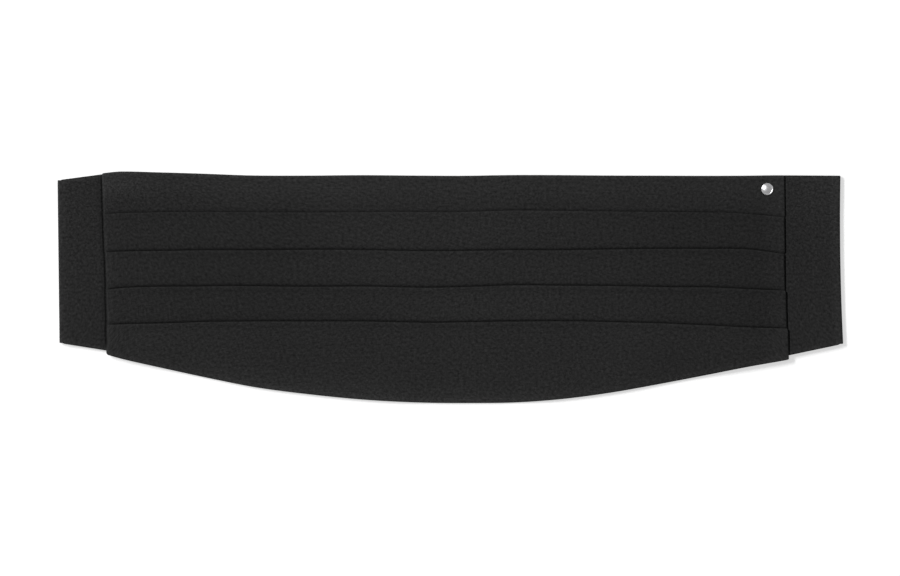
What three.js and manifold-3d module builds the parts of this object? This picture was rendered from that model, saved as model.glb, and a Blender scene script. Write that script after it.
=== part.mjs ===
// A black wool cummerbund that lies flat on a surface, front up and fastened behind. Its pleated
// front is sewn over two side wings. Each wing turns under at the side and runs back as a tail,
// and a clasp joins the two tails at the centre back, so the whole is one flattened loop.
// Millimetres. Seen from the front +X runs to the right, +Y to the waist edge and +Z out of the
// cloth, up from the surface. "Depth" is the distance below the straight run of the waist edge.

import * as THREE from "three";
import { mergeVertices } from "three/addons/utils/BufferGeometryUtils.js";
import Module from "manifold-3d";

const wasm = await Module();
wasm.setup();

// Fits
const clearance = 0.3; // between neighbouring pieces
const layer_gap = 0.2; // between two layers of the pleated cloth

// Pleated front
const panel_length = 384.3; // seam to seam along the waist edge
const panel_height = 127.6; // waist edge to lower edge at the deepest place
const cloth = 1; // thickness of the pleated cloth
const pleat_pitch = 20.5; // from one fold to the next
const tuck_depth = 8; // how far a pleat runs in behind the next one's fold
const hem_depth = 11; // cloth turned under at the waist edge and the lower edge
const settle_run = 1.5; // level run that a layer keeps beyond what it crosses
const left_lean = 0.036; // how far the left end leans to the right, for each unit of depth
const right_lean = 0.02;

// Wings and tails
const left_reach = 24.1; // from the seam to the turn at the side, seen from the front
const right_reach = 31.2;
const left_top_inset = 0.8; // panel's upper corner above the wing's upper edge
const right_top_inset = 0.1;
const wing_cloth = 1.2; // two plies sewn as one
const seam_overlap = 6; // wing that lies in under the panel's end
const wing_bottom_inset = 2.4; // panel's lower corner below the wing's lower edge
const side_fold_radius = 1.3; // middle of the cloth round the turn at the side
const side_fold_run = 12; // length over which the turn's height dies away on the front
const strap_width = 30; // tail's straight end
const strap_depth = 37; // middle of that strap below the waist edge
const strap_run = 40; // from the clasp's middle to where the tail starts to widen
const strap_return = 17; // end turned back over the clasp's bar
const drape_reach = 60; // run over which the panel comes down to the surface beside a tail
const wing_end_cover = 5; // level run of the panel past a wing's inner end

// Clasp
const clasp_thickness = 1.2;
const clasp_bar_width = 3; // outer bar that a strap turns round
const clasp_slot_width = 5; // slot's width
const clasp_bridge_width = 8; // plate between the two slots
const clasp_rim = 2.5; // metal beyond each end of a slot
const clasp_corner = 2.5;
const slot_play = 0.5; // slot beyond each edge of the strap
const clasp_spread = 86; // run over which the panel comes down beside the clasp

// Stud
const stud_from_seam = 10.2; // its middle inside the panel's right end
const stud_depth = 7.5; // its middle below the waist edge
const stud_radius = 3.4;
const stud_rim = 0.5; // height of the head's straight rim
const stud_dome = 0.9; // rise of the dome above that rim
const stud_post_radius = 0.6;
const stud_back_radius = 2;
const stud_back_thickness = 0.5;

// Fineness of the faceted forms
const panel_stations = 22;
const turn_steps = 4;
const side_fold_steps = 8;
const edge_steps = 4;
const slope_steps = 4;
const lower_band_steps = 8;
const round_sides = 24;

// The panel's form, a row for each place along it. "along" is a share of its length, "rise" and
// the folds are shares of the pitch, rise above and folds below the waist edge's straight run,
// and "height" is a share of the panel's height.
const form_columns = ["along", "rise", "fold_1", "fold_2", "fold_3", "fold_4", "height"];
const panel_form = [
  [0.0, 0.075, 1.03, 2.07, 3.09, 4.06, 0.787],
  [0.03, 0.118, 1.0, 2.05, 3.045, 4.04, 0.811],
  [0.08, 0.098, 0.98, 2.04, 3.015, 4.02, 0.845],
  [0.15, 0.06, 0.97, 2.02, 3.0, 3.98, 0.891],
  [0.22, 0.012, 0.98, 2.02, 3.0, 3.965, 0.932],
  [0.3, 0.007, 0.98, 2.01, 3.02, 3.965, 0.963],
  [0.38, 0.018, 0.98, 2.01, 3.01, 3.97, 0.986],
  [0.46, 0.006, 0.97, 2.04, 3.04, 4.0, 0.998],
  [0.53, 0.0, 0.97, 2.04, 3.02, 3.985, 1.0],
  [0.6, 0.02, 0.93, 2.02, 2.98, 3.97, 0.997],
  [0.67, 0.02, 0.94, 2.02, 2.98, 3.96, 0.981],
  [0.74, 0.01, 0.95, 2.0, 3.0, 3.98, 0.953],
  [0.81, 0.006, 0.97, 1.98, 3.02, 4.02, 0.916],
  [0.88, 0.0, 0.98, 1.98, 3.03, 4.07, 0.876],
  [0.94, 0.003, 1.02, 1.99, 3.08, 4.13, 0.8405],
  [1.0, 0.018, 1.12, 2.12, 3.12, 4.16, 0.809],
].map((row) => Object.fromEntries(form_columns.map((name, i) => [name, row[i]])));
const fold_columns = ["fold_1", "fold_2", "fold_3", "fold_4"];

// The wings, seen from the front. The slopes say how fast the edges close in on the way out, and
// the lean how far the turn at the side leans to the right, for each unit of depth.
const left = {
  side: -1,
  reach: left_reach,
  top_inset: left_top_inset,
  top_slope: 0.133,
  bottom_slope: 0.173,
  fold_lean: 0.012,
};
const right = {
  side: 1,
  reach: right_reach,
  top_inset: right_top_inset,
  top_slope: 0.006,
  bottom_slope: 0.208,
  fold_lean: 0.0165,
};
const loop_middle = (panel_length + right_reach - left_reach) / 2;

const mix = THREE.MathUtils.lerp;

// A smooth climb from 0 at "from" to 1 at "to".
function climb(value, from, to) {
  return THREE.MathUtils.smoothstep((value - from) / (to - from), 0, 1);
}

// A column of the panel's form at any place along it, on a smooth curve through the rows.
function form(column, along) {
  const last = panel_form.length - 1;
  let i = 0;
  while (i < last - 1 && along > panel_form[i + 1].along) i += 1;
  const from = panel_form[i];
  const to = panel_form[i + 1];
  const before = panel_form[Math.max(i - 1, 0)];
  const after = panel_form[Math.min(i + 2, last)];
  const span = to.along - from.along;
  const t = (along - from.along) / span;
  const start_slope = ((to[column] - before[column]) / (to.along - before.along)) * span;
  const end_slope = ((after[column] - from[column]) / (after.along - from.along)) * span;
  const change = to[column] - from[column];
  const bend = start_slope + end_slope - 2 * change;
  return from[column] + t * (start_slope + t * (change - start_slope - bend + t * bend));
}

const panel_top = (along) => -form("rise", along) * pleat_pitch;
const panel_bottom = (along) => form("height", along) * panel_height;
const panel_lean = (along) => mix(left_lean, right_lean, along);

// Seam, turn and edges of a wing, all worked out from the panel's end that it is sewn to.
function wing_layout({ side, reach, top_inset, top_slope, bottom_slope, fold_lean }) {
  const end = side < 0 ? 0 : 1;
  const seam = end * panel_length;
  const turn = seam + side * reach;
  const front_edges = (outward) => ({
    top: panel_top(end) + top_inset + top_slope * outward,
    bottom: panel_bottom(end) - wing_bottom_inset - bottom_slope * outward,
  });
  const taper = Math.abs(turn - loop_middle) - strap_run;
  const at_turn = front_edges(reach);
  const tail_share = (inward) => THREE.MathUtils.clamp(inward / taper, 0, 1);
  const tail_edges = (inward) => ({
    top: mix(at_turn.top, strap_depth - strap_width / 2, tail_share(inward)),
    bottom: mix(at_turn.bottom, strap_depth + strap_width / 2, tail_share(inward)),
  });
  const seam_lean = panel_lean(end);
  const leans = { seam_lean, fold_lean };
  return { side, seam, turn, reach, taper, ...leans, front_edges, tail_edges, tail_share };
}
const layouts = {
  left_wing: wing_layout(left),
  right_wing: wing_layout(right),
};

// Heights in the stack, from the surface up
const tail_middle = wing_cloth / 2;
const tail_top = wing_cloth;
const front_middle = tail_top + clearance + wing_cloth / 2;
const front_top = front_middle + wing_cloth / 2;
const clasp_bottom = tail_top + clearance;
const return_middle = clasp_bottom + clasp_thickness + clearance + wing_cloth / 2;
const return_top = return_middle + wing_cloth / 2;
const clasp_half = clasp_bridge_width / 2 + clasp_slot_width + clasp_bar_width;
const layer = cloth + layer_gap;

// Height of the panel's underside: over a wing's end, a tail or the clasp it lies clear of them,
// and beside them it comes down to the surface.
function lift(x, depth) {
  const wing = x < loop_middle ? layouts.left_wing : layouts.right_wing;
  const inward = -wing.side * (x - wing.seam);
  const past_wing = climb(inward, seam_overlap + wing_end_cover, seam_overlap + drape_reach);
  const front = wing.front_edges(-Math.min(inward, seam_overlap));
  const tail = wing.tail_edges(inward + wing.reach);
  const top = mix(front.top, tail.top, past_wing);
  const bottom = mix(front.bottom, tail.bottom, past_wing);
  const past_clasp = climb(Math.abs(x - loop_middle), clasp_half + settle_run, clasp_spread);
  const stack = mix(front_top, tail_top, past_wing) + (return_top - tail_top) * (1 - past_clasp);
  const beside = Math.max(top - depth, depth - bottom, 0);
  return (stack + clearance) * (1 - climb(beside, 0, drape_reach));
}

// The two faces of a cloth whose middle line is given in a plane: each point moves half the
// thickness both ways along the corner's bisector, so the wall keeps its thickness.
function faces_of(line, thickness) {
  return line.map((point, i) => {
    const before = line[Math.max(i - 1, 0)];
    const after = line[Math.min(i + 1, line.length - 1)];
    const coming = point.clone().sub(before).normalize();
    const going = after.clone().sub(point).normalize();
    const along = coming.clone().add(going).normalize();
    const normal = new THREE.Vector2(-along.y, along.x);
    const reach = thickness / 2 / Math.max(along.dot(coming), along.dot(going));
    const upper = point.clone().addScaledVector(normal, reach);
    const lower = point.clone().addScaledVector(normal, -reach);
    return { normal, reach, upper, lower };
  });
}

// A closed solid through rings of equally many points. A ring's first half runs out along one
// side and its second half back along the other, so each end is filled like a ladder.
function loft(rings) {
  const count = rings[0].length;
  const last = (rings.length - 1) * count;
  const index = [];
  for (let i = 0; i < rings.length - 1; i += 1) {
    for (let j = 0; j < count; j += 1) {
      const a = i * count + j;
      const b = i * count + ((j + 1) % count);
      index.push(a, b, b + count, a, b + count, a + count);
    }
  }
  for (let i = 0; i < count / 2 - 1; i += 1) {
    const [a, b, c, d] = [i, i + 1, count - 2 - i, count - 1 - i];
    index.push(a, c, b, a, d, c);
    index.push(last + a, last + b, last + c, last + a, last + c, last + d);
  }
  const geometry = new THREE.BufferGeometry();
  const positions = rings.flat().flatMap((p) => [p.x, p.y, p.z]);
  geometry.setAttribute("position", new THREE.Float32BufferAttribute(positions, 3));
  geometry.setIndex(index);
  return geometry;
}

// Geometry to solid and back, for the cuts.
function solid_of(geometry) {
  const bare = new THREE.BufferGeometry();
  bare.setAttribute("position", geometry.getAttribute("position"));
  if (geometry.getIndex()) bare.setIndex(geometry.getIndex());
  const merged = mergeVertices(bare, 1e-4);
  return new wasm.Manifold(
    new wasm.Mesh({
      numProp: 3,
      vertProperties: merged.getAttribute("position").array,
      triVerts: new Uint32Array(merged.getIndex().array),
    }),
  );
}
function geometry_of(solid) {
  const mesh = solid.getMesh();
  const geometry = new THREE.BufferGeometry();
  geometry.setAttribute("position", new THREE.BufferAttribute(mesh.vertProperties, 3));
  geometry.setIndex(new THREE.BufferAttribute(mesh.triVerts, 1));
  return geometry;
}

// Middle line of the pleated cloth at one place along the panel, as depth and height: a hem, then
// each pleat running in behind the next fold, back up to it and over, and the lower hem.
function pleat_line(along) {
  const line = [];
  const turn_room = (layer + cloth) / 2;
  const at = (depth, level) => {
    const x = along * panel_length + panel_lean(along) * depth;
    line.push(new THREE.Vector2(depth, lift(x, depth) + cloth / 2 + level * layer));
  };
  const turn = (depth, from, to, bulge) => {
    for (let k = 0; k <= turn_steps; k += 1) {
      const angle = (Math.PI * k) / turn_steps;
      at(depth + (bulge * Math.sin(angle) * layer) / 2, mix(from, to, (1 - Math.cos(angle)) / 2));
    }
  };
  const slope = (from_depth, to_depth, from, to, steps) => {
    for (let k = 0; k <= steps; k += 1) {
      at(mix(from_depth, to_depth, k / steps), mix(from, to, climb(k, 0, steps)));
    }
  };
  const top = panel_top(along);
  const bottom = panel_bottom(along);
  const folds = fold_columns.map((name) => form(name, along) * pleat_pitch);
  at(top + hem_depth, 0);
  turn(top + turn_room, 0, 1, -1);
  slope(top + hem_depth + settle_run, folds[0] - settle_run, 1, 0, slope_steps);
  folds.forEach((fold, i) => {
    turn(fold + tuck_depth, 0, 1, 1);
    turn(fold + turn_room, 1, 2, -1);
    const start = fold + tuck_depth + turn_room + settle_run / 2;
    if (i < folds.length - 1) slope(start, folds[i + 1] - settle_run, 2, 0, slope_steps);
    else slope(start, bottom - hem_depth - settle_run, 2, 1, lower_band_steps);
  });
  turn(bottom - turn_room, 1, 0, 1);
  at(bottom - hem_depth, 0);
  return line;
}

// The stud stands in the waist hem near the panel's right end.
const stud_along = 1 - stud_from_seam / panel_length;
const stud_x = stud_along * panel_length + panel_lean(stud_along) * stud_depth;
const hem_underside = lift(stud_x, stud_depth);
const hem_face = hem_underside + 2 * cloth + layer_gap;

function pleated_front() {
  const rings = [];
  for (let i = 0; i <= panel_stations; i += 1) {
    const along = i / panel_stations;
    const place = (p) =>
      new THREE.Vector3(along * panel_length + panel_lean(along) * p.x, -p.x, p.y);
    const faces = faces_of(pleat_line(along), cloth);
    const outer = faces.map((f) => place(f.upper));
    const inner = faces.map((f) => place(f.lower)).reverse();
    rings.push([...outer, ...inner]);
  }
  const panel = solid_of(loft(rings));
  const hole_radius = stud_post_radius + clearance;
  const hole = new THREE.CylinderGeometry(hole_radius, hole_radius, 4 * layer, round_sides);
  hole.rotateX(Math.PI / 2);
  hole.translate(stud_x, -stud_depth, (hem_underside + hem_face) / 2);
  return geometry_of(panel.subtract(solid_of(hole)));
}

// A wing is one strip: in under the panel, out to the side, round the turn, back along the surface
// as a tapering tail, up through the clasp's slot and back over its bar.
function wing(layout) {
  const { side, seam, turn, reach, taper, seam_lean, fold_lean } = layout;
  const { front_edges, tail_edges, tail_share } = layout;
  const stations = [];
  const turn_middle = turn - side * (side_fold_radius + wing_cloth / 2);
  const side_fold_top = tail_middle + 2 * side_fold_radius;
  const front_end = seam - side * seam_overlap;
  const front_length = Math.abs(turn_middle - front_end);
  for (let k = 0; k < 2 * slope_steps; k += 1) {
    const gone = (front_length * k) / (2 * slope_steps);
    const swell = climb(gone, front_length - side_fold_run, front_length);
    stations.push({
      x: front_end + side * gone,
      z: mix(front_middle, side_fold_top, swell),
      lean: mix(seam_lean, fold_lean, gone / front_length),
      ...front_edges(gone - seam_overlap),
    });
  }
  for (let k = 0; k <= side_fold_steps; k += 1) {
    const angle = (Math.PI * k) / side_fold_steps;
    stations.push({
      x: turn_middle + side * side_fold_radius * Math.sin(angle),
      z: tail_middle + side_fold_radius * (1 + Math.cos(angle)),
      lean: fold_lean,
      ...front_edges(reach),
    });
  }
  const bar_inside = loop_middle + side * (clasp_half - clasp_bar_width);
  for (const inward of [taper / 2, taper]) {
    stations.push({
      x: turn - side * inward,
      z: tail_middle,
      lean: fold_lean * (1 - tail_share(inward)),
      ...tail_edges(inward),
    });
  }
  const strap = { lean: 0, ...tail_edges(taper) };
  const bar_radius = (return_middle - tail_middle) / 2;
  for (let k = 0; k <= turn_steps; k += 1) {
    const angle = (Math.PI * k) / turn_steps;
    const x = bar_inside - side * bar_radius * Math.sin(angle);
    stations.push({ ...strap, x, z: tail_middle + bar_radius * (1 - Math.cos(angle)) });
  }
  for (let k = 0; k <= slope_steps; k += 1) {
    const gone = mix(clasp_bar_width + settle_run, strap_return, k / slope_steps);
    const fall = climb(k, 0, slope_steps);
    stations.push({ ...strap, x: bar_inside + side * gone, z: mix(return_middle, front_middle, fall) });
  }
  const faces = faces_of(stations.map(({ x, z }) => new THREE.Vector2(x, z)), wing_cloth);
  const round = wing_cloth / 2;
  const rings = stations.map((station, i) => {
    const { normal, reach: scale } = faces[i];
    const point = (depth, out) =>
      new THREE.Vector3(
        station.x + normal.x * out * scale + station.lean * depth,
        -depth,
        station.z + normal.y * out * scale,
      );
    const edge = (depth, inward) =>
      Array.from({ length: edge_steps + 1 }, (_, k) => {
        const angle = -Math.PI / 2 + (Math.PI * k) / edge_steps;
        return point(depth + inward * round * (1 - Math.cos(angle)), inward * Math.sin(angle));
      });
    return [...edge(station.top, 1), ...edge(station.bottom, -1)];
  });
  return loft(rings);
}

// A plain flat plate with round corners and a slot for each strap.
function back_clasp() {
  const slot_length = strap_width + 2 * slot_play;
  const inner_width = clasp_half - clasp_corner;
  const inner_height = slot_length / 2 + clasp_rim - clasp_corner;
  const outline = new THREE.Shape();
  [[1, -1], [1, 1], [-1, 1], [-1, -1]].forEach(([right, up], quarter) => {
    const start = (Math.PI / 2) * (quarter - 1);
    outline.absarc(right * inner_width, up * inner_height, clasp_corner, start, start + Math.PI / 2);
  });
  const plate = new THREE.ExtrudeGeometry(outline, {
    depth: clasp_thickness,
    bevelEnabled: false,
    curveSegments: edge_steps,
  });
  let solid = solid_of(plate);
  for (const side of [-1, 1]) {
    const slot = new THREE.BoxGeometry(clasp_slot_width, slot_length, 3 * clasp_thickness);
    slot.translate((side * (clasp_bridge_width + clasp_slot_width)) / 2, 0, clasp_thickness / 2);
    solid = solid.subtract(solid_of(slot));
  }
  return geometry_of(solid);
}

// A plain domed stud: back disc, post through the hem, and a head with a straight rim.
function stud() {
  const post_length = hem_face - hem_underside + 2 * clearance;
  const profile = [
    [0, -stud_back_thickness],
    [stud_back_radius, -stud_back_thickness],
    [stud_back_radius, 0],
    [stud_post_radius, 0],
    [stud_post_radius, post_length],
    [stud_radius, post_length],
    [stud_radius, post_length + stud_rim],
  ].map(([radius, height]) => new THREE.Vector2(radius, height));
  for (let k = 1; k <= edge_steps; k += 1) {
    const angle = (Math.PI / 2) * (k / edge_steps);
    const height = post_length + stud_rim + stud_dome * Math.sin(angle);
    profile.push(new THREE.Vector2(k < edge_steps ? stud_radius * Math.cos(angle) : 0, height));
  }
  const geometry = new THREE.LatheGeometry(profile, round_sides);
  geometry.rotateX(Math.PI / 2);
  return geometry;
}

const wool = new THREE.MeshStandardMaterial({ color: 0x1b1b1d, roughness: 0.9, metalness: 0 });
const metal = new THREE.MeshStandardMaterial({ color: 0xb9bcc2, roughness: 0.3, metalness: 1 });
const dark_metal = new THREE.MeshStandardMaterial({ color: 0x2a2a2c, roughness: 0.45, metalness: 0.9 });

function piece(name, geometry, material, x = 0, y = 0, z = 0) {
  const mesh = new THREE.Mesh(geometry, material);
  mesh.name = name;
  mesh.position.set(x, y, z);
  return mesh;
}

const cloth_work = new THREE.Group();
cloth_work.add(piece("pleated_front", pleated_front(), wool));
for (const [name, layout] of Object.entries(layouts)) cloth_work.add(piece(name, wing(layout), wool));
const fittings = new THREE.Group();
fittings.add(piece("back_clasp", back_clasp(), dark_metal, loop_middle, -strap_depth, clasp_bottom));
fittings.add(piece("stud", stud(), metal, stud_x, -stud_depth, hem_underside - clearance));

// The origin is on the surface, under the middle of the outline.
const lying = new THREE.Group();
lying.add(cloth_work, fittings);
const outline = new THREE.Box3().setFromObject(lying);
const middle = outline.getCenter(new THREE.Vector3());
lying.position.set(-middle.x, -middle.y, -outline.min.z);
const cummerbund = new THREE.Group();
cummerbund.add(lying);

export default cummerbund;
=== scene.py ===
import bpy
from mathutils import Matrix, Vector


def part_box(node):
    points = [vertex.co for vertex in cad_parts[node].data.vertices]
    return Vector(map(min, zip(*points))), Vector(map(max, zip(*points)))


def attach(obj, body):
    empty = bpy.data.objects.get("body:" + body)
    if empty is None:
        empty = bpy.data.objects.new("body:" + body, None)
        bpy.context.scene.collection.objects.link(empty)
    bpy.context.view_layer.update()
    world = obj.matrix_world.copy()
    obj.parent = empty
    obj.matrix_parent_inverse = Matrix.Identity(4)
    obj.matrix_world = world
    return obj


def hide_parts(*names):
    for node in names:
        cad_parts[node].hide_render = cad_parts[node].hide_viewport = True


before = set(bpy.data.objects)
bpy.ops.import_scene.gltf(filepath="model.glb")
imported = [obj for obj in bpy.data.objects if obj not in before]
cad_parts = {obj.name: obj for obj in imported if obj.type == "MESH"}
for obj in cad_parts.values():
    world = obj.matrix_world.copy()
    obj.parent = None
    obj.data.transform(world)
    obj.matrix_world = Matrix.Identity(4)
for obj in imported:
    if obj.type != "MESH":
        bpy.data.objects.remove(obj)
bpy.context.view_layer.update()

import math
from collections import namedtuple

import bpy
import numpy as np
from mathutils import Vector, noise

# The pleated front. One length of near-black wool with a fine pebbled weave, hemmed at the waist
# edge and the lower edge and pressed into four knife pleats that open upwards. Its ends are
# turned, pressed flat and sewn down over the two wings.
MM = 0.001
panel_length = 384.3
panel_height = 127.6
pleat_pitch = 20.5
tuck_depth = 8.0
hem_depth = 11.0
front_cloth = 0.7
layer_gap = 0.1
layer = front_cloth + layer_gap
left_lean = 0.036  # how far the left end leans to the right, for each unit of depth
right_lean = 0.02

# What lies behind the front: how far the wings reach past it and under it, where the tails run as
# straps, how wide the clasp is, and the heights of that stack above the surface
left_reach = 24.1
right_reach = 31.2
loop_middle = (panel_length + right_reach - left_reach) / 2
seam_overlap = 6.0
wing_end_cover = 5.0
strap_depth = 37.0
strap_width = 30.0
strap_run = 40.0
drape_reach = 60.0
clasp_half = 12.0
clasp_cover = 1.5
clasp_spread = 86.0
clearance = 0.3
wing_cloth = 1.2
tail_top = wing_cloth
wing_front_top = 2 * wing_cloth + clearance
strap_return_top = 3 * wing_cloth + 2 * clearance

# A row for each place along the front. "along" is a share of its length. "rise" is how far the
# waist edge stands above a straight line, and the folds how far they lie below that line, both in
# pitches. "height" is how far the lower edge lies below it, as a share of the front's height.
form_columns = "along rise fold_1 fold_2 fold_3 fold_4 height".split()
panel_form = [
    (0.00, 0.075, 1.03, 2.07, 3.090, 4.060, 0.787),
    (0.03, 0.118, 1.00, 2.05, 3.045, 4.040, 0.811),
    (0.08, 0.098, 0.98, 2.04, 3.015, 4.020, 0.845),
    (0.15, 0.060, 0.97, 2.02, 3.000, 3.980, 0.891),
    (0.22, 0.012, 0.98, 2.02, 3.000, 3.965, 0.932),
    (0.30, 0.007, 0.98, 2.01, 3.020, 3.965, 0.963),
    (0.38, 0.018, 0.98, 2.01, 3.010, 3.970, 0.986),
    (0.46, 0.006, 0.97, 2.04, 3.040, 4.000, 0.998),
    (0.53, 0.000, 0.97, 2.04, 3.020, 3.985, 1.000),
    (0.60, 0.020, 0.93, 2.02, 2.980, 3.970, 0.997),
    (0.67, 0.020, 0.94, 2.02, 2.980, 3.960, 0.981),
    (0.74, 0.010, 0.95, 2.00, 3.000, 3.980, 0.953),
    (0.81, 0.006, 0.97, 1.98, 3.020, 4.020, 0.916),
    (0.88, 0.000, 0.98, 1.98, 3.030, 4.070, 0.876),
    (0.94, 0.003, 1.02, 1.99, 3.080, 4.130, 0.8405),
    (1.00, 0.018, 1.12, 2.12, 3.120, 4.160, 0.809),
]
fold_columns = form_columns[2:6]

clasp_low, clasp_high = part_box("back_clasp")
clasp_middle = (clasp_low + clasp_high) / 2


def place(x, depth, height):
    """A point in the frame from its place along the front, its depth below the waist edge and
    its height above the surface, all in millimetres."""
    across = clasp_middle.x + (x - loop_middle) * MM
    up = clasp_middle.y - (depth - strap_depth) * MM
    return (across, up, height * MM)


def mix(a, b, share):
    return a + (b - a) * share


def climb(value, start, end):
    """A smooth step from 0 at the start to 1 at the end."""
    share = min(max((value - start) / (end - start), 0.0), 1.0)
    return share * share * (3 - 2 * share)


def fade(value, start, end):
    return 1 - climb(value, start, end)


def form(column, along):
    """A column of the front's form at any place along it, on a smooth curve through the rows."""
    place_of = form_columns.index(column)
    last = len(panel_form) - 1
    i = 0
    while i < last - 1 and along > panel_form[i + 1][0]:
        i += 1
    rows = [panel_form[k] for k in (max(i - 1, 0), i, i + 1, min(i + 2, last))]
    (a0, v0), (a1, v1), (a2, v2), (a3, v3) = [(row[0], row[place_of]) for row in rows]
    span = a2 - a1
    share = (along - a1) / span
    start_slope = (v2 - v0) / (a2 - a0) * span
    end_slope = (v3 - v1) / (a3 - a1) * span
    bend = start_slope + end_slope - 2 * (v2 - v1)
    return v1 + share * (start_slope + share * (v2 - v1 - start_slope - bend + share * bend))


def panel_top(along):
    return -form("rise", along) * pleat_pitch


def panel_bottom(along):
    return form("height", along) * panel_height


def run_from_end(x_at_top):
    return min(x_at_top, panel_length - x_at_top)


class Wing:
    """One wing's plan, worked out from the end of the front that it is sewn to. The insets are how
    far its edges lie inside the front's at the seam, the slopes how fast they close in beyond it,
    and the lean is that of its turned side."""

    def __init__(self, side, reach, top_inset, bottom_inset, slopes, fold_lean):
        self.side = side
        self.reach = reach
        self.fold_lean = fold_lean
        self.end = 0 if side < 0 else 1
        self.seam = self.end * panel_length
        self.turn = self.seam + side * reach
        self.top = panel_top(self.end) + top_inset
        self.bottom = panel_bottom(self.end) - bottom_inset
        self.slopes = slopes
        self.taper = abs(self.turn - loop_middle) - strap_run

    def front_edges(self, outward):
        return self.top + self.slopes[0] * outward, self.bottom - self.slopes[1] * outward

    def tail_edges(self, inward):
        share = min(max(inward / self.taper, 0.0), 1.0)
        top, bottom = self.front_edges(self.reach)
        strap_top = strap_depth - strap_width / 2
        return mix(top, strap_top, share), mix(bottom, strap_top + strap_width, share)


left_plan = Wing(
    side=-1,
    reach=left_reach,
    top_inset=0.8,
    bottom_inset=2.4,
    slopes=(0.133, 0.173),
    fold_lean=0.012,
)
right_plan = Wing(
    side=1,
    reach=right_reach,
    top_inset=0.1,
    bottom_inset=2.4,
    slopes=(0.006, 0.208),
    fold_lean=0.0165,
)


def lift(x, depth):
    """Height of the front's underside over the wings' ends, the tails and the clasp."""
    plan = left_plan if x < loop_middle else right_plan
    inward = -plan.side * (x - plan.seam)
    past_wing = climb(inward, seam_overlap + wing_end_cover, seam_overlap + drape_reach)
    wing_end = plan.front_edges(-min(inward, seam_overlap))
    tail = plan.tail_edges(inward + plan.reach)
    top = mix(wing_end[0], tail[0], past_wing)
    bottom = mix(wing_end[1], tail[1], past_wing)
    past_clasp = climb(abs(x - loop_middle), clasp_half + clasp_cover, clasp_spread)
    stack = mix(wing_front_top, tail_top, past_wing)
    stack += (strap_return_top - tail_top) * (1 - past_clasp)
    beside = max(top - depth, depth - bottom, 0.0)
    return (stack + clearance) * fade(beside, 0.0, drape_reach)


class Ripple:
    """Smooth unevenness of a given height, and of given breadths along and across the front."""

    def __init__(self, height, wide, tall, seed):
        self.height = height
        self.wide = wide
        self.tall = tall
        self.seed = seed

    def swing(self, x, depth):
        """Up to its height either way."""
        return self.height * noise.noise(Vector((x / self.wide, depth / self.tall, self.seed)))

    def rise(self, x, depth):
        """From nothing up to its height."""
        return (self.height + self.swing(x, depth)) / 2


fold_wander = Ripple(0.22, wide=34.0, tall=5.0, seed=3.1)
fold_opening = Ripple(0.3, wide=20.0, tall=3.0, seed=5.7)  # a share of how far a fold stands up
hem_stray = Ripple(0.5, wide=22.0, tall=9.0, seed=8.4)
broad_sway = Ripple(0.26, wide=46.0, tall=24.0, seed=1.3)
fine_sway = Ripple(0.14, wide=15.0, tall=9.0, seed=2.9)
end_pucker = Ripple(0.3, wide=14.0, tall=3.6, seed=4.4)
end_pucker_run = (1.0, 9.0)

# How each fold stands at its edge, and how a band sinks towards the next fold and dives under it.
# The noise that a fold reads lies this many millimetres below the one before.
wander_step = 7.0
opening_step = 11.0
fold_drop = 0.5  # the folds' edges lie this much lower than their marks
fold_puff = (0.35, 0.7, 0.7, 0.7)
fold_puff_run = 3.0
fold_calm = 0.5  # share of its standing that a fold loses at the ends
fold_calm_run = (2.0, 14.0)
under_fold = 0.3  # the next fold hides this much of a band
dip_run = 6.5
dive_run = 1.6
dive_share = 0.65

# The hems: how far they puff, and how far the lower one stands off the surface left and right of
# the middle, where it rests. Each of those two stretches has four shares of the length: where the
# rise starts, where it is full, where it starts to fall and where it has ended.
hem_puff = 0.4
hem_puff_run = 3.5
hem_room = 2.5  # between the last tuck and the lower hem's turned edge
hem_margin = 1.0
hem_rise = 1.3
hem_rise_run = 28.0
hem_rise_left = (0.1, 0.25, 0.40, 0.49)
hem_rise_right = (0.59, 0.66, 0.74, 0.88)

# The ends. Each closes to a thin edge a little below the front's underside, with its folds pressed
# flatter and its corners dropped, and steps out or in from band to band and flares at its foot.
EndForm = namedtuple("EndForm", "close_run top_drop bottom_drop steps_out flare")
left_end = EndForm(
    close_run=1.2,
    top_drop=0.3,
    bottom_drop=0.8,
    steps_out=(1.0, 1.0, 1.35, 1.1, 0.7),
    flare=-0.9,
)
right_end = EndForm(
    close_run=0.55,
    top_drop=0.1,
    bottom_drop=0.4,
    steps_out=(-0.4, -0.9, -1.35, -0.75, 0.0),
    flare=0.2,
)
end_level = -0.6
end_squash = 0.16
end_press = 0.25
end_press_run = 9.0
corner_run = 1.6
step_run = 22.0
step_half = 1.8
flare_run = (7.0, 2.0)

# Where a band's points lie, as runs from its edges, and in how many steps the cloth runs inside a
# hem, inside a tuck, down the lowest band, and round an edge or a tuck
hem_runs = (0.6, 1.4, 2.4, 3.8, 5.5, 7.5)
past_fold_runs = (0.35, 0.8, 1.4, 2.2, 3.4, 5.0)
past_fold_end = 6.0
band_runs = (14.0, 11.5, 9.0, 7.2, 5.6, 4.3, 3.2, 2.4, 1.8, 1.3, 0.9, 0.55, 0.25, 0.0)
last_band_end = 8.2
hem_steps = 4
tuck_steps = 3
last_band_steps = 12
turn_steps = 8
tuck_turn_steps = 4


def nearer_end(along):
    return left_end if along < 0.5 else right_end


def quarter_round(run, reach):
    """Share of its height that a rounded end has at a given run from it."""
    return math.sqrt(1 - (1 - min(run / reach, 1)) ** 2)


def stretch(along, start, full, fall, end):
    """1 along a stretch of the front, falling to 0 at both its ends."""
    return climb(along, start, full) * fade(along, fall, end)


def hem_stands(along):
    """How far the lower hem stands off the surface beside its resting place in the middle."""
    return hem_rise * (stretch(along, *hem_rise_left) + stretch(along, *hem_rise_right))


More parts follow.
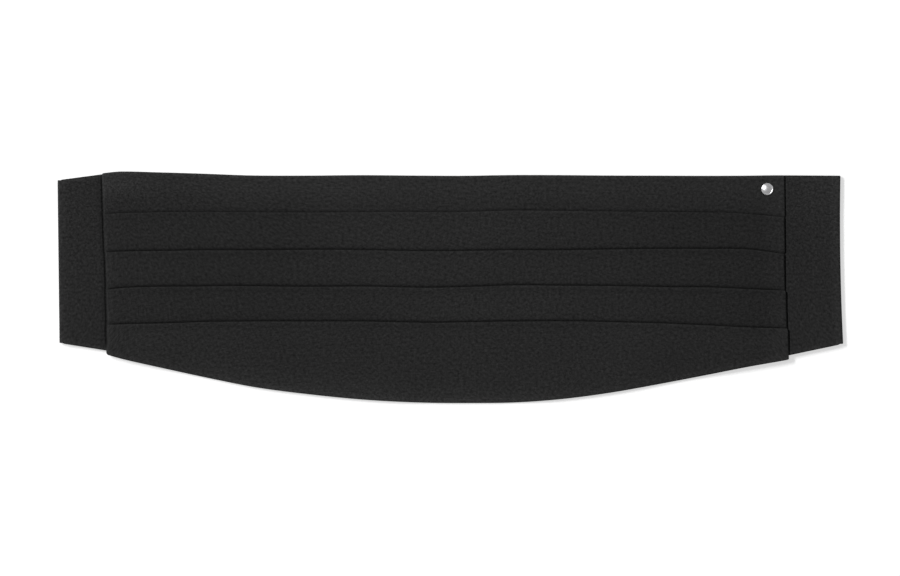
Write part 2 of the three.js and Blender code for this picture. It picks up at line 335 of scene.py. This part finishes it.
def dip(run):
    """Share of its height that a band keeps at a given run above the next fold."""
    sunk = (1 - min(run / dip_run, 1.0)) ** 2
    dived = (1 - min(run / dive_run, 1.0)) ** 2
    return 1 - (1 - dive_share) * sunk - dive_share * dived


def step_out(x_at_top, depth, folds):
    """How far the end is set out of line at a given depth, fading along the front."""
    along = x_at_top / panel_length
    end = nearer_end(along)
    out = end.steps_out[0]
    for fold, before, after in zip(folds, end.steps_out, end.steps_out[1:]):
        out += (after - before) * climb(depth, fold - step_half, fold + step_half)
    bottom = panel_bottom(along)
    out += end.flare * climb(depth, bottom - flare_run[0], bottom - flare_run[1])
    return out * fade(run_from_end(x_at_top), 0.0, step_run)


def pleat_line(x_at_top, lean):
    """The cloth's middle line at one place, as depths and heights, and the folds' depths."""
    along = x_at_top / panel_length
    from_end = run_from_end(x_at_top)
    points = []

    def at(depth, level, extra=0.0):
        x = x_at_top + lean * depth
        height = lift(x, depth) + front_cloth / 2 + level * layer + extra
        points.append((depth, height))

    def turn(depth, start, end, bulge, steps, extra=0.0):
        for k in range(steps + 1):
            angle = math.pi * k / steps
            share = (1 - math.cos(angle)) / 2
            at(depth + bulge * math.sin(angle) * layer / 2, mix(start, end, share), extra * share)

    corner = 1 - quarter_round(from_end, corner_run)
    top = panel_top(along) + corner * nearer_end(along).top_drop
    bottom = panel_bottom(along) - corner * nearer_end(along).bottom_drop
    folds = []
    for k, name in enumerate(fold_columns):
        wander = fold_wander.swing(x_at_top, wander_step * k)
        folds.append(form(name, along) * pleat_pitch + fold_drop + wander)
    room = (layer + front_cloth) / 2
    stray = hem_stray.swing(x_at_top, 0.0)
    standing = mix(1 - fold_calm, 1.0, climb(from_end, *fold_calm_run))

    # the waist hem, its turned edge and the first band
    for k in range(hem_steps):
        at(mix(top + hem_depth + stray, top + room, k / hem_steps), 0)
    turn(top + room, 0, 1, -1, turn_steps, hem_puff)
    for run in hem_runs:
        at(top + room + run, 1, hem_puff * fade(run, 0.0, hem_puff_run))
    start = top + hem_depth + hem_margin
    hidden = folds[0] - under_fold
    for run in band_runs:
        run *= (hidden - start) / band_runs[0]
        at(hidden - run, dip(run))

    # each fold: down behind the next band, back up to the fold's edge and over it
    for i, fold in enumerate(folds):
        last = i == len(folds) - 1
        tuck = min(tuck_depth, bottom - fold - hem_depth - hem_room) if last else tuck_depth
        for k in range(1, tuck_steps):
            at(mix(fold - under_fold, fold + tuck, k / tuck_steps), 0)
        turn(fold + tuck, 0, 1, 1, tuck_turn_steps)
        for k in range(1, tuck_steps):
            at(mix(fold + tuck, fold + room, k / tuck_steps), 1)
        opening = fold_opening.swing(x_at_top, opening_step * i)
        stand = fold_puff[i] * (1 + opening) * standing
        fall_start = tuck + room
        fall_end = bottom - fold - hem_margin
        turn(fold + room, 1, 2, -1, turn_steps, stand)
        for run in past_fold_runs:
            level = 2 - climb(run + room, fall_start, fall_end) if last else 2
            at(fold + room + run, level, stand * fade(run, 0.0, fold_puff_run))
        start = fold + room + past_fold_end
        if last:
            for k in range(last_band_steps):
                depth = mix(start, bottom - room - last_band_end, k / (last_band_steps - 1))
                at(depth, 2 - climb(depth - fold, fall_start, fall_end))
            for run in reversed(hem_runs):
                depth = bottom - room - run
                puff = hem_puff * fade(run, 0.0, hem_puff_run)
                at(depth, 2 - climb(depth - fold, fall_start, fall_end), puff)
        else:
            hidden = folds[i + 1] - under_fold
            for run in band_runs:
                run *= (hidden - start) / band_runs[0]
                at(hidden - run, 2 * dip(run))

    # the lower hem
    turn(bottom - room, 1, 0, 1, turn_steps)
    for k in range(1, hem_steps):
        at(mix(bottom - room, bottom - hem_depth - stray, k / hem_steps), 0)
    return points, folds


def offsets(line, half):
    """How far each point of a cloth's middle line moves, one way and the other, to its two faces.
    At a bend it moves further, but at most twice as far."""
    least_cosine = 0.5
    line = np.array(line)
    steps = np.diff(line, axis=0)
    steps /= np.linalg.norm(steps, axis=1)[:, None]
    coming = np.vstack([steps[:1], steps])
    going = np.vstack([steps, steps[-1:]])
    heading = coming + going
    heading /= np.linalg.norm(heading, axis=1)[:, None]
    normal = np.stack([-heading[:, 1], heading[:, 0]], axis=1)
    reach = half / np.maximum((heading * coming).sum(axis=1), least_cosine)
    return normal * reach[:, None]


weave_unit = 100.0  # millimetres for one unit of the weave's coordinates


def shell(name, rings, lengthwise, crosswise, painted_light):
    """A closed mesh through rings of equally many points. A ring's first half runs out along one
    face and its second half back along the other. The weave's coordinates are kept as a UV map,
    and the painted light and painted shade on the cloth as an attribute."""
    count = len(rings[0])
    half = count // 2
    vertices = [point for ring in rings for point in ring]
    faces = []
    for i in range(len(rings) - 1):
        for j in range(count):
            a, b = i * count + j, i * count + (j + 1) % count
            faces.append((a, b, b + count, a + count))
    last = (len(rings) - 1) * count
    for i in range(half - 1):
        a, b, c, d = i, i + 1, count - 2 - i, count - 1 - i
        faces.append((d, c, b, a))
        faces.append((last + a, last + b, last + c, last + d))
    mesh = bpy.data.meshes.new(name)
    mesh.from_pydata(vertices, [], faces)
    mesh.update()
    mesh.shade_smooth()
    weave = mesh.uv_layers.new(name="weave")
    corner = np.zeros(len(mesh.loops), dtype=np.int32)
    mesh.loops.foreach_get("vertex_index", corner)
    uv = np.stack([lengthwise[corner], crosswise[corner]], axis=1) / weave_unit
    weave.data.foreach_set("uv", uv.astype(np.float32).ravel())
    lighter = mesh.attributes.new("painted_light", "FLOAT", "POINT")
    lighter.data.foreach_set("value", np.array(painted_light, dtype=np.float32))
    piece = bpy.data.objects.new(name, mesh)
    bpy.context.scene.collection.objects.link(piece)
    return piece


# How much painted light and painted shade the cloth gets, in shares of its tone: painted
# highlights near hems, ends and corners, painted shade on the very edges and on some bands. A glow
# has its amount and the runs between which it fades, and an edge its amount and its reach.
edge_dark = 0.3
edge_dark_run = (0.2, 0.7)
edge_light_start = 0.9
waist_edge = (0.22, 3.0)
hem_edge_at_ends = 0.25
hem_edge_in_middle = 0.45
hem_edge_reach = 3.5
waist_glow = (0.17, 3.0, 20.0)
hem_glow_at_ends = 0.03
hem_glow_in_middle = 0.19
hem_glow_run = (2.0, 16.0)
hem_middle = (0.08, 0.25, 0.5, 0.8)  # shares of the length between which the hem's painted light is strongest
left_end_glow = (0.12, 1.5, 5.0)
left_corner_glow = (0.26, 6.0, 36.0)
left_corner_depth = (8.0, 18.0)
left_band_shade = 0.06
left_band_depth = (8.0, 15.0)
left_band_run = (0.3, 0.5)
right_end_glow = (0.17, 4.0, 15.0)
right_shade = 0.03
right_shade_run = (0.7, 0.95)
pleat_glow = 0.19
pleat_shade = 0.12
pleat_middle = (0.25, 0.55, 0.6, 0.85)
band_blend = (-3.0, 1.0)


# A painted highlight or painted shade of an amount, fading out between two runs
def glow(run, amount, start, end):
    return amount * fade(run, start, end)


def painted_edge_light(run, lighter, reach):
    """Painted light at a distance from a pressed edge, with painted shade on the very edge."""
    dark = (lighter + edge_dark) * fade(run, *edge_dark_run)
    return lighter * fade(run, edge_light_start, reach) - dark


def front_painted_light(x_at_top, depth, top, bottom, folds):
    """How much painted light or painted shade the front gets at one place: painted highlights along
    its hems and ends, at its upper left corner and mid-way along the folded bands, painted shade on
    the very edges, on the folded bands towards both ends and towards the right end."""
    along = x_at_top / panel_length
    from_end = run_from_end(x_at_top)
    from_waist = depth - top
    from_hem = bottom - depth
    first_band = fade(depth - folds[0], *band_blend)
    pleats = (1 - first_band) * fade(depth - folds[3], *band_blend)
    lightest_hem = stretch(along, *hem_middle)
    hem_edge = mix(hem_edge_at_ends, hem_edge_in_middle, lightest_hem)
    hem_glow = mix(hem_glow_at_ends, hem_glow_in_middle, lightest_hem)
    light = painted_edge_light(from_waist, *waist_edge) + painted_edge_light(from_hem, hem_edge, hem_edge_reach)
    light += glow(from_waist, *waist_glow) + glow(from_hem, hem_glow, *hem_glow_run)
    if along < 0.5:
        light += glow(from_end, *left_end_glow)
        light += glow(from_end, *left_corner_glow) * fade(from_waist, *left_corner_depth)
        lower_band = first_band * climb(from_waist, *left_band_depth)
        light -= left_band_shade * lower_band * fade(along, *left_band_run)
    else:
        light += glow(from_end, *right_end_glow)
    light += pleats * (pleat_glow * stretch(along, *pleat_middle) - pleat_shade)
    return light - right_shade * climb(along, *right_shade_run)


def front_stations():
    """Places along the front, close together near its ends and even between them."""
    end_runs = (0.0, 0.08, 0.2, 0.4, 0.65, 0.95, 1.3, 1.8, 2.4, 3.2, 4.2, 5.5, 7.2, 9.2)
    even_start = 11.3
    even_places = 190
    middle = np.linspace(even_start, panel_length - even_start, even_places)
    return [*end_runs, *middle, *(panel_length - run for run in reversed(end_runs))]


def front_piece():
    """The front's mesh, with its ends closed, its folds pressed there and its cloth uneven."""
    rings = []
    lengthwise = []
    crosswise = []
    painted_light = []
    for x_at_top in front_stations():
        along = x_at_top / panel_length
        lean = mix(left_lean, right_lean, along)
        from_end = run_from_end(x_at_top)
        closing = max(quarter_round(from_end, nearer_end(along).close_run), end_squash)
        pressed = 1 - end_press * fade(from_end, 0.0, end_press_run)
        line = []
        points, folds = pleat_line(x_at_top, lean)
        top, bottom = panel_top(along), panel_bottom(along)
        lights = []
        for depth, height in points:
            # painted light and painted shade at each point of the line
            lights.append(front_painted_light(x_at_top, depth, top, bottom, folds))
            x = x_at_top + lean * depth
            base = lift(x, depth)
            height = base + end_level + ((height - base) * pressed - end_level) * closing
            sway = broad_sway.rise(x, depth) + fine_sway.rise(x, depth)
            sway += hem_stands(along) * fade(bottom - depth, 0.0, hem_rise_run)
            sway += end_pucker.rise(x, depth) * fade(from_end, *end_pucker_run)
            line.append((depth, height + sway * closing))
        move = offsets(line, front_cloth / 2 * closing * pressed)
        run = np.cumsum([0.0] + [math.dist(a, b) for a, b in zip(line, line[1:])])
        upper = []
        lower = []
        for (depth, height), (down, up) in zip(line, move):
            x = x_at_top + lean * depth + step_out(x_at_top, depth, folds)
            upper.append(place(x, depth + down, height + up))
            lower.append(place(x, depth - down, height - up))
        rings.append(upper + lower[::-1])
        lengthwise += [x_at_top] * (2 * len(line))
        crosswise += [*run, *run[::-1]]
        painted_light += lights + lights[::-1]
    return shell("front", rings, np.array(lengthwise), np.array(crosswise), painted_light)


class Socket:
    """A node's output, wrapped so that shader maths is written as Python expressions."""

    def __init__(self, finish, output):
        self.finish = finish
        self.output = output

    def maths(self, operation, *values):
        return self.finish.node("Math", list(values), operation=operation)

    def __add__(self, other):
        return self.maths("ADD", self, other)

    def __sub__(self, other):
        return self.maths("SUBTRACT", self, other)

    def __rsub__(self, other):
        return self.maths("SUBTRACT", other, self)

    def __mul__(self, other):
        return self.maths("MULTIPLY", self, other)

    def sine(self):
        return self.maths("SINE", self)

    __radd__ = __add__
    __rmul__ = __mul__


class Finish:
    """A material and the one way that its nodes are added."""

    def __init__(self, name):
        self.material = bpy.data.materials.new(name)
        self.material.use_nodes = True
        self.tree = self.material.node_tree
        self.tree.nodes.clear()

    def node(self, kind, sockets=(), output=0, **settings):
        """Adds a node, sets its settings, then sets or links its sockets, and gives one output."""
        made = self.tree.nodes.new("ShaderNode" + kind)
        for name, value in settings.items():
            setattr(made, name, value)
        pairs = sockets.items() if isinstance(sockets, dict) else enumerate(sockets)
        for key, value in pairs:
            if isinstance(value, Socket):
                self.tree.links.new(value.output, made.inputs[key])
            else:
                made.inputs[key].default_value = value
        if len(made.outputs) > 0:
            return Socket(self, made.outputs[output])

    def surface(self, **sockets):
        named = {name.replace("_", " "): value for name, value in sockets.items()}
        self.node("OutputMaterial", {"Surface": self.node("BsdfPrincipled", named)})


def around_one(pattern, contrast):
    """A pattern between 0 and 1 as a factor that varies about 1."""
    return 1 + contrast * (pattern - 0.5)


def wool(name, tone, cloud_scale):
    """Fine pebbled dress wool: small broken ribs, a dusty grain and a soft sheen. The tone is the
    grey of the cloth, varied by the weave, the slow clouds and painted light and shade. The
    slubs and the grain are drawn out lengthwise."""
    rib_pitch = 0.46
    rib_slant = 0.5
    rib_waves = 2 * math.pi * weave_unit / rib_pitch
    draw = (0.8, 1.0, 1.0)
    slub_contrast = 1.68
    grain_contrast = 1.6
    cloud_contrast = 0.3
    cloth = Finish(name)
    weave = cloth.node("UVMap", uv_map="weave")
    lengthwise = cloth.node("SeparateXYZ", [weave], output=0)
    crosswise = cloth.node("SeparateXYZ", [weave], output=1)
    ribs_one_way = ((lengthwise + crosswise * rib_slant) * rib_waves).sine()
    ribs_other_way = ((lengthwise - crosswise * rib_slant) * rib_waves).sine()
    pebble = ribs_one_way * ribs_other_way
    drawn = cloth.node("VectorMath", [weave, draw], operation="MULTIPLY")
    slub = cloth.node("TexNoise", {"Vector": drawn, "Scale": 68.0, "Detail": 1.0, "Roughness": 0.6})
    grain = cloth.node("TexNoise", {"Vector": drawn, "Scale": 135.0, "Detail": 2.0, "Roughness": 0.7})
    body = cloth.node("TexCoord", output=3)
    slow = {"Vector": body, "Scale": cloud_scale, "Detail": 2.0, "Roughness": 0.5}
    cloud = cloth.node("TexNoise", slow)
    # Painted light and painted shade, kept on the mesh, that lighten or darken the colour
    painted_light_share = cloth.node("Attribute", output=2, attribute_name="painted_light")
    mottle = around_one(slub, slub_contrast) * around_one(grain, grain_contrast)
    clouds = around_one(cloud, cloud_contrast)
    # The cloth's own weave, mottle and clouds, times its painted light and painted shade
    level = mottle * (0.97 + 0.06 * pebble) * clouds * (1 + painted_light_share)
    black = (0, 0, 0, 1)
    twice_tone = (tone * 2, tone * 2, tone * 2, 1)
    shares = {0: level * 0.5, 6: black, 7: twice_tone}
    height = pebble * 0.3 + grain + slub * 2.0
    cloth.surface(
        Base_Color=cloth.node("Mix", shares, output=2, data_type="RGBA"),
        Roughness=0.88 + 0.08 * grain,
        Specular_IOR_Level=0.12,
        Sheen_Weight=0.03,
        Sheen_Roughness=0.5,
        Sheen_Tint=(0.8, 0.8, 0.8, 1),
        Normal=cloth.node("Bump", {"Strength": 0.5, "Distance": 0.00012, "Height": height}),
    )
    return cloth.material


front_wool = wool("front_wool", 0.0192, cloud_scale=14.0)
front = front_piece()
front.data.materials.append(front_wool)
height_steps = 50
heights = [form("height", k / height_steps) for k in range(height_steps + 1)]
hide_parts("pleated_front")
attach(front, "root")

# The two side wings. Each is two plies of the same wool bagged out as one, sewn in under the end
# of the front, turned under at the side and run back as a tail that narrows to a strap. The
# strap's end goes up through the clasp and back over its bar.
side_fold_radius = 1.3
side_fold_run = 12.0
clasp_bar = 3.0
strap_return = 17.0
two_plies = 0.9
tail_middle = two_plies / 2
front_middle = tail_top + clearance + wing_cloth / 2
return_middle = strap_return_top - wing_cloth / 2
wing_sway = Ripple(0.3, wide=24.0, tall=13.0, seed=6.6)
wing_sway_run = 20.0

# A place belongs to the wing's upper side not at all below the first height, and fully from the
# second
above_tail = 0.6
upper_side = (tail_middle + above_tail, front_middle)

# How each wing dives along the front's end and swells beyond it, how far its turned side is drawn
# in at half its depth, and how much painted light or painted shade its cloth gets along the turned
# side, on that side's very edge, along the waist edge and beside the front
WingForm = namedtuple(
    "WingForm",
    "sink sink_run swell swell_run side_hollow side_glow side_dark waist_glow seam_shade",
)
wing_forms = {
    left_plan: WingForm(
        sink=0.8,
        sink_run=(0.2, 1.1),
        swell=0.4,
        swell_run=(0.4, 3.0),
        side_hollow=0.0,
        side_glow=0.16,
        side_dark=0.4,
        waist_glow=0.0,
        seam_shade=0.09,
    ),
    right_plan: WingForm(
        sink=0.0,
        sink_run=(0.1, 0.6),
        swell=1.0,
        swell_run=(0.0, 1.3),
        side_hollow=0.8,
        side_glow=0.3,
        side_dark=0.0,
        waist_glow=0.18,
        seam_shade=0.06,
    ),
}
# Runs of the wings' painted light and painted shade; then the sink's inset and the swell's end
side_glow_run = (1.0, 7.0)
side_dark_run = (0.2, 0.9)
seam_shade_run = (8.0, 18.0)
wing_edge = (0.25, 3.5)
wing_waist_depth = (6.0, 30.0)
wing_waist_run = (5.0, 14.0)
wing_waist_at_seam = 0.4
sink_inset = (0.5, 4.0)
swell_end = 2.0

# Across the wing: how far in from each edge its first points lie, and what share of its thickness
# it has there. The outermost lie in the groove between the two plies.
edge_round = [(0.16, 0.03), (0.0, 0.45), (0.12, 0.8), (0.35, 0.97), (0.8, 1.0), (1.6, 1.0)]
across_start = 3.0
across_steps = 70

# Along the wing: places at the end under the front, runs from the seam, where the even steps out
# to the side start, and in how many steps the cloth runs round a turn and along the tail
inner_places = (0.0, 2.0)
seam_runs = (*np.arange(-2.1, 1.6, 0.25), 1.9, 2.4, 3.2)
even_run_start = 4.4
even_run_steps = 16
half_turn_steps = 12
tail_steps = 60


def wing_stations(plan):
    """Places along a wing's middle line: x, height, edges, lean, and how near the side's fold is."""
    side = plan.side
    turn_middle = plan.turn - side * (side_fold_radius + two_plies / 2)
    fold_top = tail_middle + 2 * side_fold_radius
    inner_end = plan.seam - side * seam_overlap
    front_length = abs(turn_middle - inner_end)
    seam_lean = left_lean if side < 0 else right_lean
    places = []

    # from the inner end, under the front, past the seam and out to the side
    beside = [seam_overlap + run for run in seam_runs]
    even_start = seam_overlap + even_run_start
    even = [mix(even_start, front_length, k / even_run_steps) for k in range(even_run_steps)]
    for gone in (*inner_places, *beside, *even):
        swell = climb(gone, front_length - side_fold_run, front_length)
        lean = mix(seam_lean, plan.fold_lean, gone / front_length)
        edges = plan.front_edges(gone - seam_overlap)
        height = mix(front_middle, fold_top, swell)
        places.append((inner_end + side * gone, height, edges, lean, swell))

    # round the turn at the side
    for k in range(half_turn_steps + 1):
        angle = math.pi * k / half_turn_steps
        x = turn_middle + side * side_fold_radius * math.sin(angle)
        height = tail_middle + side_fold_radius * (1 + math.cos(angle))
        places.append((x, height, plan.front_edges(plan.reach), plan.fold_lean, 1.0))

    # back along the tail to the clasp's bar
    bar_inside = loop_middle + side * (clasp_half - clasp_bar)
    start = abs(plan.turn - turn_middle)
    tail_run = abs(plan.turn - bar_inside)
    for k in range(1, tail_steps):
        inward = mix(start, tail_run, k / tail_steps)
        share = min(inward / plan.taper, 1.0)
        lean = plan.fold_lean * (1 - share)
        near = fade(inward, 0.0, side_fold_run)
        places.append((plan.turn - side * inward, tail_middle, plan.tail_edges(inward), lean, near))

    # round the bar, and the strap's end that lies on the tail
    edges = plan.tail_edges(plan.taper)
    radius = (return_middle - tail_middle) / 2
    for k in range(half_turn_steps + 1):
        angle = math.pi * k / half_turn_steps
        x = bar_inside - side * radius * math.sin(angle)
        places.append((x, tail_middle + radius * (1 - math.cos(angle)), edges, 0.0, 0.0))
    for k in range(1, half_turn_steps + 1):
        gone = mix(clasp_bar, strap_return, k / half_turn_steps)
        height = mix(return_middle, front_middle, climb(gone, clasp_bar + clasp_cover, strap_return))
        places.append((bar_inside + side * gone, height, edges, 0.0, 0.0))
    return places


def beside_seam(plan, x, depth, height):
    """The wing dives along the front's end, step by step with it, and swells a little beyond."""
    look = wing_forms[plan]
    folds = [form(name, plan.end) * pleat_pitch + fold_drop for name in fold_columns]
    outward = plan.side * (x - plan.seam - step_out(plan.seam, depth, folds))
    top, bottom = plan.front_edges(outward)
    inside = climb(min(depth - top, bottom - depth), *sink_inset)
    swell = look.swell * climb(outward, *look.swell_run)
    swell *= fade(outward, plan.reach - side_fold_run - swell_end, plan.reach - swell_end)
    sink = look.sink * fade(outward, *look.sink_run)
    return (swell - sink * inside) * climb(height, *upper_side)


def uneven(x, depth, height):
    """Unevenness of the wing's upper side, none in the tail behind."""
    beside_strap = climb(abs(x - loop_middle), clasp_spread, clasp_spread + wing_sway_run)
    return wing_sway.rise(x, depth) * climb(height, *upper_side) * beside_strap


def wing_painted_light(plan, x, depth, top, bottom):
    """How much painted light or painted shade a wing gets at one place."""
    look = wing_forms[plan]
    from_turn = abs(x - plan.turn)
    from_seam = abs(x - plan.seam)
    light = glow(from_turn, look.side_glow, *side_glow_run)
    light -= glow(from_turn, look.side_dark, *side_dark_run)
    light += painted_edge_light(min(depth - top, bottom - depth), *wing_edge)
    outer = mix(wing_waist_at_seam, 1.0, climb(from_seam, *wing_waist_run))
    light += outer * glow(depth - top, look.waist_glow, *wing_waist_depth)
    return light - glow(from_seam, look.seam_shade, *seam_shade_run)


def wing_piece(name, plan):
    """The wing's mesh, and the length and area of its cloth."""
    places = wing_stations(plan)
    move = offsets([(x, height) for x, height, *_ in places], two_plies / 2)
    run = np.cumsum([0.0] + [math.dist(a[:2], b[:2]) for a, b in zip(places, places[1:])])
    shares = [k / across_steps for k in range(across_steps + 1)]
    rings = []
    lengthwise = []
    crosswise = []
    painted_light = []
    for (x, height, (top, bottom), lean, near), (out, up), gone in zip(places, move, run):
        rows = [(top + inset, thick) for inset, thick in edge_round]
        rows += [(mix(top + across_start, bottom - across_start, share), 1.0) for share in shares]
        rows += [(bottom - inset, thick) for inset, thick in reversed(edge_round)]
        upper = []
        lower = []
        for depth, thick in rows:
            middle = height + uneven(x, depth, height) + beside_seam(plan, x, depth, height)
            share = (depth - top) / (bottom - top)
            drawn_in = wing_forms[plan].side_hollow * near * 4 * share * (1 - share)
            x_here = x + lean * depth - plan.side * drawn_in
            upper.append(place(x_here + out * thick, depth, middle + up * thick))
            lower.append(place(x_here - out * thick, depth, middle - up * thick))
        rings.append(upper + lower[::-1])
        lengthwise += [gone] * (2 * len(rows))
        depths = [depth for depth, _ in rows]
        crosswise += depths + depths[::-1]
        # painted light and painted shade at each point across the wing
        lights = [wing_painted_light(plan, x, depth, top, bottom) for depth in depths]
        painted_light += lights + lights[::-1]
    widths = np.array([bottom - top for _, _, (top, bottom), *_ in places])
    area = np.sum((widths[1:] + widths[:-1]) / 2 * np.diff(run))
    wing = shell(name, rings, np.array(lengthwise), np.array(crosswise), painted_light)
    return wing, run[-1], area


wing_wool = wool("wing_wool", 0.0198, cloud_scale=15.5)
for node, plan in (("left_wing", left_plan), ("right_wing", right_plan)):
    wing, length, area = wing_piece(node + "_cloth", plan)
    wing.data.materials.append(wing_wool)
    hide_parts(node)
    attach(wing, "root")
    (plan.bottom - plan.top) * MM

# The clasp. One flat plate of steel with two slots, black enamelled, which lies between the tails
# and the front. The straps' ends are turned over its outer bars and hold it.
enamel = Finish("clasp_enamel")
plate = enamel.node("TexCoord", output=3)
chips = enamel.node("TexNoise", {"Vector": plate, "Scale": 900.0, "Detail": 4.0})
enamel.surface(
    Base_Color=(0.02, 0.02, 0.021, 1),
    Metallic=0.0,
    Roughness=0.3 + 0.25 * chips,
    Coat_Weight=0.3,
)
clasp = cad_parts["back_clasp"]
clasp.data.materials.clear()
clasp.data.materials.append(enamel.material)

# The stud. A plain low dome of polished silver-coloured metal with a rolled rim, pressed through
# the waist hem near the right end of the front and held by a small disc behind.
stud_low, stud_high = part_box("stud")
stud_middle = (stud_low + stud_high) / 2
stud_foot = Vector((stud_middle.x, stud_middle.y, stud_low.z))

# Radius and height of each corner of its outline: the disc, the post, the rim and the dome
stud_profile = [
    (0.0, 0.0), (1.9, 0.0), (2.0, 0.1), (2.0, 0.4), (1.9, 0.5), (0.6, 0.5), (0.6, 2.3),
    (2.9, 2.3), (3.25, 2.42), (3.4, 2.75), (3.28, 3.1), (3.0, 3.26), (2.76, 3.2), (2.62, 3.08),
    (2.5, 3.14), (2.1, 3.42), (1.5, 3.68), (0.8, 3.82), (0.0, 3.86),
]
silver = Finish("stud_silver")
dome = silver.node("TexCoord", output=3)
scuff = silver.node("TexNoise", {"Vector": dome, "Scale": 1400.0, "Detail": 3.0})
silver.surface(
    Base_Color=(0.85, 0.85, 0.86, 1),
    Metallic=1.0,
    Roughness=0.26 + 0.2 * scuff,
)


def lathe(name, profile, foot, sides=64):
    """A turned form: the profile's radii and heights, in millimetres, run round an upright axis
    that stands on the foot."""
    vertices = []
    rows = []
    for radius, height in profile:
        count = 1 if radius == 0 else sides
        rows.append(range(len(vertices), len(vertices) + count))
        for k in range(count):
            angle = 2 * math.pi * k / sides
            x = foot.x + radius * MM * math.cos(angle)
            y = foot.y + radius * MM * math.sin(angle)
            vertices.append((x, y, foot.z + height * MM))
    faces = []
    for a, b in zip(rows, rows[1:]):
        for k in range(sides):
            after = (k + 1) % sides
            if len(a) == 1:
                faces.append((a[0], b[after], b[k]))
            elif len(b) == 1:
                faces.append((a[k], a[after], b[0]))
            else:
                faces.append((a[k], a[after], b[after], b[k]))
    mesh = bpy.data.meshes.new(name)
    mesh.from_pydata(vertices, [], faces)
    mesh.update()
    mesh.shade_smooth()
    piece = bpy.data.objects.new(name, mesh)
    bpy.context.scene.collection.objects.link(piece)
    return piece


stud = lathe("stud_domed", stud_profile, stud_foot)
stud.data.materials.append(silver.material)
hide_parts("stud")
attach(stud, "root")

# The studio. A wide white floor that curves up into a low wall far away, an even white surround
# and one long soft box at the upper left, whose long side runs up the picture. The floor glows a
# little near the cloth, so that it keeps soft shadows, and fully further out.
floor_profile = [(16000.0, 1500.0), (15000.0, 300.0), (13000.0, 0.0), (0.0, 0.0)]
floor_foot = Vector((0.0, 0.0, -0.0001))
glow_near = 0.53
glow_far = 1.0
glow_start = 0.4
glow_run = 2.0
floor = lathe("floor", floor_profile, floor_foot)
white = Finish("floor_white")
floor_place = white.node("TexCoord", output=3)
from_middle = white.node("VectorMath", [floor_place], output=1, operation="LENGTH")
past_start = [from_middle - glow_start, 1 / glow_run]
share_out = white.node("Math", past_start, operation="MULTIPLY", use_clamp=True)
near_white = (glow_near, glow_near, glow_near, 1)
far_white = (glow_far, glow_far, glow_far, 1)
shares = {0: share_out, 6: near_white, 7: far_white}
white.surface(
    Base_Color=(0.62, 0.62, 0.62, 1),
    Roughness=0.9,
    Specular_IOR_Level=0.1,
    Emission_Color=white.node("Mix", shares, output=2, data_type="RGBA"),
    Emission_Strength=1.0,
)
floor.data.materials.append(white.material)

world = bpy.data.worlds.new("surround")
world.use_nodes = True
surround = world.node_tree.nodes["Background"]
surround.inputs["Color"].default_value = (1, 1, 1, 1)
surround.inputs["Strength"].default_value = 0.31
bpy.context.scene.world = world

lamp = bpy.data.lights.new("key", "AREA")
lamp.shape = "RECTANGLE"
lamp.size = 0.6
lamp.size_y = 1.5
lamp.energy = 113
key = bpy.data.objects.new("key", lamp)
key.location = (-2.08, 1.35, 2.6)
key.rotation_euler = (0, math.atan2(key.location.x, key.location.z), 0)
bpy.context.scene.collection.objects.link(key)

# The camera looks straight down through a long lens. What it aims at is a place along the front
# and a depth below its waist edge, and its frame is as wide as the photo at the part's scale.
frame_pixels = 900
pixels_for_a_mm = 1.78
frame_width = frame_pixels / pixels_for_a_mm * MM
camera_height = 3.0
aim_along = 196.28
aim_depth = 62.97
eye = bpy.data.cameras.new("camera")
eye.sensor_width = 36.0
eye.lens = eye.sensor_width * camera_height / frame_width
camera = bpy.data.objects.new("camera", eye)
camera.location = place(aim_along, aim_depth, camera_height / MM)
bpy.context.scene.collection.objects.link(camera)
bpy.context.scene.camera = camera
bpy.context.scene.view_settings.view_transform = "Standard"
